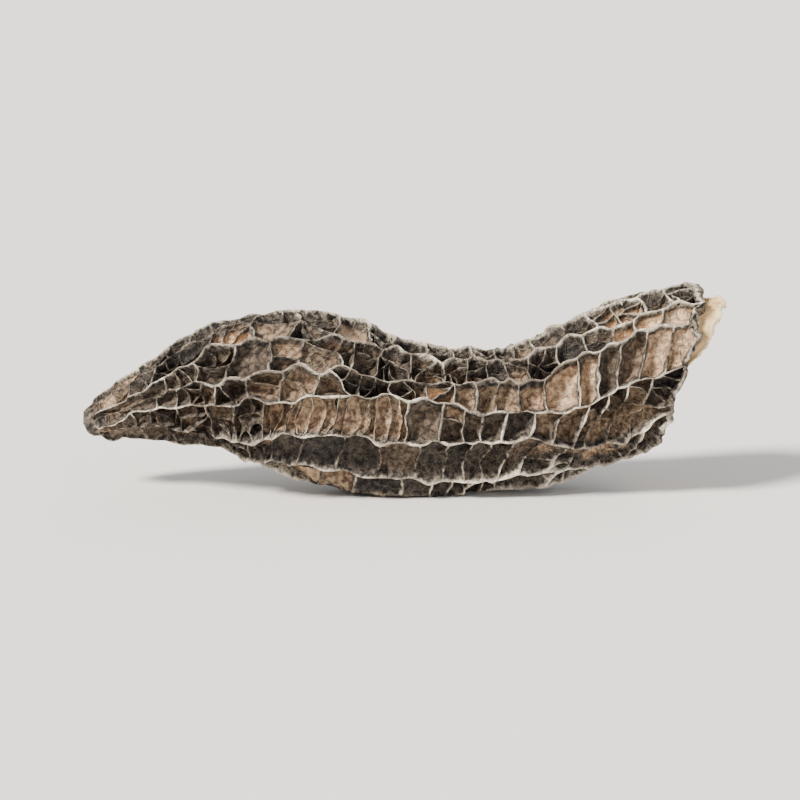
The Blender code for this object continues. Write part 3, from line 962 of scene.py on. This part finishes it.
def finish_material(tree, shader, colour, height, strength, size):
    """Gives a shader its colour, and relief of this size in mm where a pattern is high."""
    bump = add_node(tree, "ShaderNodeBump", None, {
        "Strength": strength, "Distance": size * MM, "Height": height})
    tree.links.new(colour, shader.inputs["Base Color"])
    tree.links.new(bump.outputs["Normal"], shader.inputs["Normal"])


MIX_FACTOR, MIX_A, MIX_B, MIX_RESULT = 0, 6, 7, 2
COLOUR_MIX = {"data_type": "RGBA"}
SMOOTH_RANGE = {"interpolation_type": "SMOOTHSTEP"}
print("a middle grey, #808080, in linear light:", round(from_hex("#808080")[0], 3))

# %% Dried cap skin: leathery, matte, pale on the crests, with painted light and shade
skin_material, tree, shader = start_material("dried morel cap skin", 0.8, 0.35)
places = add_node(tree, "ShaderNodeTexCoord").outputs["Object"]
crest, depth, tone = (
    add_node(tree, "ShaderNodeAttribute", {"attribute_name": name}).outputs["Fac"]
    for name in ("crest", "depth", "tone")
)

# Blotches are about 4 mm across, mottling 0.4 mm, and the dry grain 0.15 mm, which is two pixels here
blotch, mottle, grain = (
    add_node(tree, "ShaderNodeTexNoise", None, {"Vector": places, "Scale": per_mm(size), "Detail": detail})
    for size, detail in ((4.0, 3.0), (0.4, 5.0), (0.15, 2.0))
)
blotchy = add_node(tree, "ShaderNodeMapRange", SMOOTH_RANGE, {
    "Value": blotch.outputs["Fac"], "From Min": 0.36, "From Max": 0.64})
mottled = add_node(tree, "ShaderNodeMapRange", SMOOTH_RANGE, {
    "Value": mottle.outputs["Fac"], "From Min": 0.26, "From Max": 0.74})

# Sharp creases about 1 mm apart, where the skin folded as it shrank
folded = add_node(tree, "ShaderNodeTexNoise", {"noise_type": "RIDGED_MULTIFRACTAL"}, {
    "Vector": places, "Scale": per_mm(1.6), "Detail": 4.0, "Roughness": 0.55, "Distortion": 0.4})
crease = add_node(tree, "ShaderNodeMapRange", SMOOTH_RANGE, {
    "Value": folded.outputs["Fac"], "From Min": 0.55, "From Max": 1.5})
speckle = add_node(tree, "ShaderNodeMath", {"operation": "MULTIPLY_ADD"}, {
    0: crease.outputs["Result"], 1: 0.55, 2: mottled.outputs["Result"]})
speckled = add_node(tree, "ShaderNodeMath", {"operation": "SUBTRACT", "use_clamp": True}, {
    0: speckle.outputs[0], 1: 0.20})

# Fine veins, the smallest ridges of all, about 0.9 mm apart and bent by the mottling
bent_by = add_node(tree, "ShaderNodeVectorMath", {"operation": "SCALE"}, {
    0: mottle.outputs["Color"], "Scale": 0.5 * MM})
bent = add_node(tree, "ShaderNodeVectorMath", {"operation": "ADD"}, {0: places, 1: bent_by.outputs["Vector"]})
cells = add_node(tree, "ShaderNodeTexVoronoi", {"feature": "DISTANCE_TO_EDGE"}, {
    "Vector": bent.outputs["Vector"], "Scale": per_mm(0.9)})
vein = add_node(tree, "ShaderNodeMapRange", SMOOTH_RANGE, {
    "Value": cells.outputs["Distance"], "From Min": 0.10, "From Max": 0.0})
vein_paint = add_node(tree, "ShaderNodeMath", {"operation": "MULTIPLY"}, {
    0: vein.outputs["Result"], 1: blotchy.outputs["Result"]})
vein_share = add_node(tree, "ShaderNodeMapRange", None, {
    "Value": tone, "From Min": 0.0, "From Max": 0.6, "To Min": 0.16, "To Max": 0.5})
faint_vein = add_node(tree, "ShaderNodeMath", {"operation": "MULTIPLY"}, {
    0: vein_paint.outputs[0], 1: vein_share.outputs["Result"]})
print("nodes for the patterns of the skin:", len(tree.nodes))

# %% The skin's colours by place: crests, walls, and dark and pale floors, with painted light and shade
crest_edge = add_node(tree, "ShaderNodeMath", {"operation": "MULTIPLY_ADD"}, {
    0: mottle.outputs["Fac"], 1: 1.1, 2: crest})
crest_mask = add_node(tree, "ShaderNodeMapRange", SMOOTH_RANGE, {
    "Value": crest_edge.outputs[0], "From Min": 0.86, "From Max": 1.62})
clear_cell = add_node(tree, "ShaderNodeMapRange", None, {
    "Value": tone, "From Min": 0.65, "From Max": 1.0, "To Min": 0.0, "To Max": 0.55})
pale_share = add_node(tree, "ShaderNodeMath", {"operation": "ADD", "use_clamp": True}, {
    0: speckled.outputs[0], 1: clear_cell.outputs["Result"]})
# The near-black walls and the dark floors are partly their own colour and partly painted shade
crest_colour, wall_colour_and_shade, dark_floor_and_shade, pale_floor = (
    add_node(tree, "ShaderNodeMix", COLOUR_MIX, {
        MIX_FACTOR: share, MIX_A: from_hex(low), MIX_B: from_hex(high)})
    for share, low, high in (
        (blotchy.outputs["Result"], "#94887A", "#F0E5D2"),
        (speckled.outputs[0], "#161311", "#71675D"),
        (speckled.outputs[0], "#100F0E", "#4C4641"),
        (pale_share.outputs[0], "#7A604D", "#F7D3AC"),
    )
)
floor_colour = add_node(tree, "ShaderNodeMix", COLOUR_MIX, {
    MIX_FACTOR: tone, MIX_A: dark_floor_and_shade.outputs[MIX_RESULT], MIX_B: pale_floor.outputs[MIX_RESULT]})
# Partly painted shade: each pit's wall takes the dark wall colour, and its deep floor the floor colour
floor_mask = add_node(tree, "ShaderNodeMapRange", SMOOTH_RANGE, {
    "Value": depth, "From Min": 0.60, "From Max": 0.95})
below = add_node(tree, "ShaderNodeMix", COLOUR_MIX, {
    MIX_FACTOR: floor_mask.outputs["Result"],
    MIX_A: wall_colour_and_shade.outputs[MIX_RESULT], MIX_B: floor_colour.outputs[MIX_RESULT]})
veined = add_node(tree, "ShaderNodeMix", COLOUR_MIX, {
    MIX_FACTOR: faint_vein.outputs[0], MIX_A: below.outputs[MIX_RESULT], MIX_B: from_hex("#B5A68F")})
skin_colour = add_node(tree, "ShaderNodeMix", COLOUR_MIX, {
    MIX_FACTOR: crest_mask.outputs["Result"],
    MIX_A: veined.outputs[MIX_RESULT], MIX_B: crest_colour.outputs[MIX_RESULT]})
print("nodes with the colours:", len(tree.nodes))

# %% The skin's fine relief: grain, creases and veins
grainy = add_node(tree, "ShaderNodeMath", {"operation": "MULTIPLY_ADD"}, {
    0: crease.outputs["Result"], 1: 1.6, 2: grain.outputs["Fac"]})
skin_height = add_node(tree, "ShaderNodeMath", {"operation": "MULTIPLY_ADD"}, {
    0: vein.outputs["Result"], 1: 0.8, 2: grainy.outputs[0]})
finish_material(tree, shader, skin_colour.outputs[MIX_RESULT], skin_height.outputs[0], 0.9, 0.16)
print("nodes with the fine relief:", len(tree.nodes))

# %% Bare flesh: mealy, matte, and darker in its folds, which is painted shade
def bare_flesh(name, colours, attribute, folds, meal, relief):
    """Two colours in folds of so many mm, stretched lengthwise, and a third where the attribute is 1."""
    material, tree, shader = start_material(name, 0.9, 0.3)
    places = add_node(tree, "ShaderNodeTexCoord").outputs["Object"]
    share = add_node(tree, "ShaderNodeAttribute", {"attribute_name": attribute}).outputs["Fac"]
    stretched = add_node(tree, "ShaderNodeMapping", None, {"Vector": places, "Scale": (folds[1], 1.0, 1.0)})
    folded = add_node(tree, "ShaderNodeTexNoise", None, {
        "Vector": stretched.outputs["Vector"], "Scale": per_mm(folds[0]), "Detail": 4.0})
    mealy = add_node(tree, "ShaderNodeTexNoise", None, {
        "Vector": places, "Scale": per_mm(meal[0]), "Detail": meal[1]})
    # The darker of the two colours is painted shade in the folds
    plain = add_node(tree, "ShaderNodeMix", COLOUR_MIX, {
        MIX_FACTOR: folded.outputs["Fac"], MIX_A: from_hex(colours[0]), MIX_B: from_hex(colours[1])})
    mixed = add_node(tree, "ShaderNodeMix", COLOUR_MIX, {
        MIX_FACTOR: share, MIX_A: plain.outputs[MIX_RESULT], MIX_B: from_hex(colours[2])})
    finish_material(tree, shader, mixed.outputs[MIX_RESULT], mealy.outputs["Fac"], *relief)
    return material


# Cream, and palest at the tear, which the crest attribute marks on the stem
flesh_material = bare_flesh(
    "dried morel stem flesh", ("#A87A46", "#F0D6A6", "#F2DDB4"), "crest", (0.8, 0.3), (0.2, 3.0), (0.5, 0.08))
# The same flesh inside the hollow, with painted shade that darkens it deeper in, towards the tip
lining_material = bare_flesh(
    "dried morel lining", ("#9A7448", "#D8BB8E", "#5E4230"), "depth", (0.5, 1.0), (0.5, 4.0), (0.6, 0.15))
print("bare flesh:", flesh_material.name, "and", lining_material.name)

# %% [markdown]
# ## Wrinkles from drying
#
# As a morel loses its water the skin puckers: slow swellings bend the ridges and fine creases run over
# everything. This is the same rule at every point, so a Geometry Nodes tree does it: it shifts each point by
# two sizes of seeded noise, presses the result flat on the table, and gives each zone its material. Noise
# along the normal alone would only swell the skin. Here x, y and z have noise of their own, so that it tilts
# and folds the ridges as well.

# %% Geometry Nodes helpers
def start_tree(name, inputs):
    """A node tree with a geometry in and out and these named sizes, each with its own default value."""
    tree = bpy.data.node_groups.new(name, "GeometryNodeTree")
    tree.interface.new_socket(name="Geometry", in_out="INPUT", socket_type="NodeSocketGeometry")
    tree.interface.new_socket(name="Geometry", in_out="OUTPUT", socket_type="NodeSocketGeometry")
    for label, value in inputs.items():
        kind = "NodeSocketInt" if isinstance(value, int) else "NodeSocketFloat"
        tree.interface.new_socket(name=label, in_out="INPUT", socket_type=kind).default_value = value
    return tree, add_node(tree, "NodeGroupInput"), add_node(tree, "NodeGroupOutput")


def run_tree(obj, tree, values):
    """Runs a tree on an object with these values and keeps the result as the object's plain mesh."""
    modifier = obj.modifiers.new(tree.name, "NODES")
    modifier.node_group = tree
    for item in tree.interface.items_tree:
        if item.name in values:
            modifier[item.identifier] = values[item.name]
    depsgraph = bpy.context.evaluated_depsgraph_get()
    evaluated = obj.evaluated_get(depsgraph)
    mesh = bpy.data.meshes.new_from_object(evaluated, preserve_all_data_layers=True, depsgraph=depsgraph)
    obj.modifiers.remove(modifier)
    obj.data = mesh
    return len(mesh.polygons)


# %% The wrinkling tree
WRINKLES = {
    "Pucker size": 2.2 * MM,
    "Pucker shift": 0.9 * MM,
    "Crease size": 0.5 * MM,
    "Crease shift": 0.22 * MM,
    "Seed": 4,
}
wrinkle_tree, given, result = start_tree("drying wrinkles", WRINKLES)
position = add_node(wrinkle_tree, "GeometryNodeInputPosition").outputs["Position"]
offsets = []
for size, shift in (("Pucker size", "Pucker shift"), ("Crease size", "Crease shift")):
    scale = add_node(wrinkle_tree, "ShaderNodeMath", {"operation": "DIVIDE"}, {
        0: 1.0, 1: given.outputs[size]})
    noise = add_node(wrinkle_tree, "ShaderNodeTexNoise", {"noise_dimensions": "4D"}, {
        "Vector": position, "W": given.outputs["Seed"], "Scale": scale.outputs[0], "Detail": 1.0})
    centred = add_node(wrinkle_tree, "ShaderNodeVectorMath", {"operation": "SUBTRACT"}, {
        0: noise.outputs["Color"], 1: (0.5, 0.5, 0.5)})
    offset = add_node(wrinkle_tree, "ShaderNodeVectorMath", {"operation": "SCALE"}, {
        0: centred.outputs["Vector"], "Scale": given.outputs[shift]})
    offsets.append(offset.outputs["Vector"])
push = add_node(wrinkle_tree, "ShaderNodeVectorMath", {"operation": "ADD"}, {0: offsets[0], 1: offsets[1]})
wrinkled = add_node(wrinkle_tree, "GeometryNodeSetPosition", None, {
    "Geometry": given.outputs["Geometry"], "Offset": push.outputs["Vector"]})
print("nodes for the wrinkles:", len(wrinkle_tree.nodes))

# %% Press it flat on the table and dress each zone
after = add_node(wrinkle_tree, "GeometryNodeInputPosition").outputs["Position"]
parts = add_node(wrinkle_tree, "ShaderNodeSeparateXYZ", None, {"Vector": after})
above = add_node(wrinkle_tree, "ShaderNodeMath", {"operation": "MAXIMUM"}, {0: parts.outputs["Z"], 1: 0.0})
pressed = add_node(wrinkle_tree, "ShaderNodeCombineXYZ", None, {
    "X": parts.outputs["X"], "Y": parts.outputs["Y"], "Z": above.outputs[0]})
geometry = add_node(wrinkle_tree, "GeometryNodeSetPosition", None, {
    "Geometry": wrinkled.outputs["Geometry"], "Position": pressed.outputs["Vector"]}).outputs["Geometry"]
for kind in ("GeometryNodeSetShadeSmooth", "GeometryNodeRealizeInstances"):
    geometry = add_node(wrinkle_tree, kind, None, {"Geometry": geometry}).outputs["Geometry"]
zone = add_node(wrinkle_tree, "GeometryNodeInputNamedAttribute", {"data_type": "INT"}, {"Name": "zone"})
for number, material in ((CAP, skin_material), (STEM, flesh_material), (HOLLOW, lining_material)):
    here = add_node(wrinkle_tree, "FunctionNodeCompare", {"data_type": "INT", "operation": "EQUAL"}, {
        2: zone.outputs["Attribute"], 3: number})
    geometry = add_node(wrinkle_tree, "GeometryNodeSetMaterial", None, {
        "Geometry": geometry, "Selection": here.outputs["Result"], "Material": material}).outputs["Geometry"]
wrinkle_tree.links.new(geometry, result.inputs["Geometry"])
print("faces after wrinkling:", run_tree(morel, wrinkle_tree, WRINKLES))

# %% [markdown]
# ## Meal and torn fibres on the stem
#
# A morel's stem is mealy: its skin is set with tiny pale granules. Where it tore, short fibres stand out of
# the edge. Both repeat hundreds of times over a surface, so a Geometry Nodes tree scatters them on the stem's
# faces: balls of few faces for the meal and short five-sided spikes for the fibres, turned along the skin's
# normal.

# %% The tree that scatters them
SCATTER = {
    "Granule spacing": 0.34 * MM,
    "Granule radius": 0.10 * MM,
    "Fibre spacing": 0.26 * MM,
    "Fibre length": 0.15 * MM,
    "Fibre width": 0.05 * MM,
    "Seed": 9,
}
scatter_tree, given, result = start_tree("stem meal and fibres", SCATTER)
zone = add_node(scatter_tree, "GeometryNodeInputNamedAttribute", {"data_type": "INT"}, {"Name": "zone"})
on_stem = add_node(scatter_tree, "FunctionNodeCompare", {"data_type": "INT", "operation": "EQUAL"}, {
    2: zone.outputs["Attribute"], 3: STEM})
worn = add_node(scatter_tree, "GeometryNodeInputNamedAttribute", {"data_type": "FLOAT"}, {"Name": "crest"})
at_tear = add_node(scatter_tree, "FunctionNodeCompare", {"data_type": "FLOAT", "operation": "GREATER_THAN"}, {
    0: worn.outputs["Attribute"], 1: 0.75})
on_tear = add_node(scatter_tree, "FunctionNodeBooleanMath", {"operation": "AND"}, {
    0: on_stem.outputs["Result"], 1: at_tear.outputs["Result"]})
ball = add_node(scatter_tree, "GeometryNodeMeshIcoSphere", None, {
    "Radius": given.outputs["Granule radius"], "Subdivisions": 1})
spike = add_node(scatter_tree, "GeometryNodeMeshCone", None, {
    "Vertices": 5, "Radius Top": 0.0, "Radius Bottom": given.outputs["Fibre width"],
    "Depth": given.outputs["Fibre length"]})
scattered = []

# Where, what, how far apart, smallest and largest share of the size, and how far each leans, in radians
for number, (chosen, shape, spacing, smallest, largest, sway) in enumerate((
    (on_stem.outputs["Result"], ball.outputs["Mesh"], "Granule spacing", 0.5, 1.4, 3.1),
    (on_tear.outputs["Boolean"], spike.outputs["Mesh"], "Fibre spacing", 0.5, 1.5, 0.6),
)):
    seed = add_node(scatter_tree, "ShaderNodeMath", {"operation": "ADD"}, {
        0: given.outputs["Seed"], 1: float(number)})
    points = add_node(scatter_tree, "GeometryNodeDistributePointsOnFaces", {"distribute_method": "POISSON"}, {
        "Mesh": given.outputs["Geometry"], "Selection": chosen, "Distance Min": given.outputs[spacing],
        "Density Max": 2.0e7, "Seed": seed.outputs[0]})
    lean = add_node(scatter_tree, "FunctionNodeRandomValue", {"data_type": "FLOAT_VECTOR"}, {
        0: (-sway, -sway, -sway), 1: (sway, sway, sway), "Seed": seed.outputs[0]})
    turned = add_node(scatter_tree, "FunctionNodeRotateRotation", {"rotation_space": "LOCAL"}, {
        "Rotation": points.outputs["Rotation"], "Rotate By": lean.outputs[0]})
    size = add_node(scatter_tree, "FunctionNodeRandomValue", {"data_type": "FLOAT"}, {
        2: smallest, 3: largest, "Seed": seed.outputs[0]})
    placed = add_node(scatter_tree, "GeometryNodeInstanceOnPoints", None, {
        "Points": points.outputs["Points"], "Instance": shape, "Rotation": turned.outputs["Rotation"],
        "Scale": size.outputs[1]})
    scattered.append(placed.outputs["Instances"])
joined = add_node(scatter_tree, "GeometryNodeJoinGeometry")
for instances in scattered:
    scatter_tree.links.new(instances, joined.inputs["Geometry"])
real = add_node(scatter_tree, "GeometryNodeRealizeInstances", None, {"Geometry": joined.outputs["Geometry"]})
smooth = add_node(scatter_tree, "GeometryNodeSetShadeSmooth", None, {"Geometry": real.outputs["Geometry"]})
dressed = add_node(scatter_tree, "GeometryNodeSetMaterial", None, {
    "Geometry": smooth.outputs["Geometry"], "Material": flesh_material})
scatter_tree.links.new(dressed.outputs["Geometry"], result.inputs["Geometry"])
print("nodes for the scatter:", len(scatter_tree.nodes))

# %% Scatter them and keep plain meshes
stem_bits = add_object("stem_meal_and_fibres", morel.data.copy())
print("faces of the meal and fibres:", run_tree(stem_bits, scatter_tree, SCATTER))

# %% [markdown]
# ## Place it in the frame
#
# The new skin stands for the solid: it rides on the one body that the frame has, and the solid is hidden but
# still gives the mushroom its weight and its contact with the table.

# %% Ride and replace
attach(morel, "root")
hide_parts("morel")
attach(stem_bits, "root")
print("on the root:", morel.name, "and", stem_bits.name)

# %% [markdown]
# ## Table, light and camera
#
# A matt pale table and far soft lights keep the attention on the relief. A Sun lamp lights the whole table
# evenly, and its angle sets how soft its shadows are. The main light comes from the left, the front and
# above, so that it rakes across the pits, and weaker ones fill from the right and from behind. The camera has
# a long lens, which keeps the two ends in proportion, and looks down by 11 degrees.

# %% The table
TABLE_SIZE = 4.0
table_mesh = bpy.data.meshes.new("table")
half = TABLE_SIZE / 2
corners = [(-half, -half, 0), (half, -half, 0), (half, half, 0), (-half, half, 0)]
table_mesh.from_pydata(corners, [], [(0, 1, 2, 3)])
table = add_object("table", table_mesh)
table_material, tree, shader = start_material("matt pale table", 0.9)
shader.inputs["Base Color"].default_value = from_hex("#F1EFEB")
table_mesh.materials.append(table_material)
table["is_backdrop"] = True
print("table:", TABLE_SIZE, "m square")

# %% The lights
AIM = Vector((0.0, 0.0, 7.0 * MM))


def soft_light(name, toward, spread, strength, colour):
    """A far soft light from this direction, spread over this many degrees of sky."""
    data = bpy.data.lights.new(name, "SUN")
    data.angle = math.radians(spread)
    data.energy = strength
    data.color = from_hex(colour)[:3]
    light = add_object(name, data)
    light.location = AIM + 0.4 * Vector(toward).normalized()
    light.rotation_euler = (AIM - light.location).to_track_quat("-Z", "Y").to_euler()


soft_light("main light", (-0.8, -0.7, 0.9), 14, 8.5, "#FFF8EE")
soft_light("fill light", (0.8, -0.9, 0.5), 60, 0.6, "#F2F5FF")
soft_light("back light", (0.3, 0.9, 0.7), 50, 0.6, "#FFFFFF")
world = bpy.data.worlds.new("studio")
world.use_nodes = True
world.node_tree.nodes["Background"].inputs["Color"].default_value = from_hex("#F1F1F1")
world.node_tree.nodes["Background"].inputs["Strength"].default_value = 0.62
bpy.context.scene.world = world
print("lamps:", len(bpy.data.lights))

# %% The camera
CAMERA_LENS = 120.0
CAMERA_DOWN = math.radians(11.0)
FRAME_SHARE = 0.80
camera_data = bpy.data.cameras.new("camera")
camera_data.lens = CAMERA_LENS
camera_data.clip_start = 0.005
width = cad_high[0] - cad_low[0]
distance = width / FRAME_SHARE * CAMERA_LENS / camera_data.sensor_width
camera = add_object("camera", camera_data)
look_at = Vector(((cad_low[0] + cad_high[0]) / 2, 0.0, 7.2 * MM))
camera.location = look_at + distance * Vector((0.0, -math.cos(CAMERA_DOWN), math.sin(CAMERA_DOWN)))
camera.rotation_euler = (look_at - camera.location).to_track_quat("-Z", "Y").to_euler()
bpy.context.scene.camera = camera
print("camera distance, mm:", round(distance / MM))

# %% Show the sizes and finish
low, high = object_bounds()
print("box of the finished skin in mm:", [round(value / MM, 1) for value in (*low, *high)])
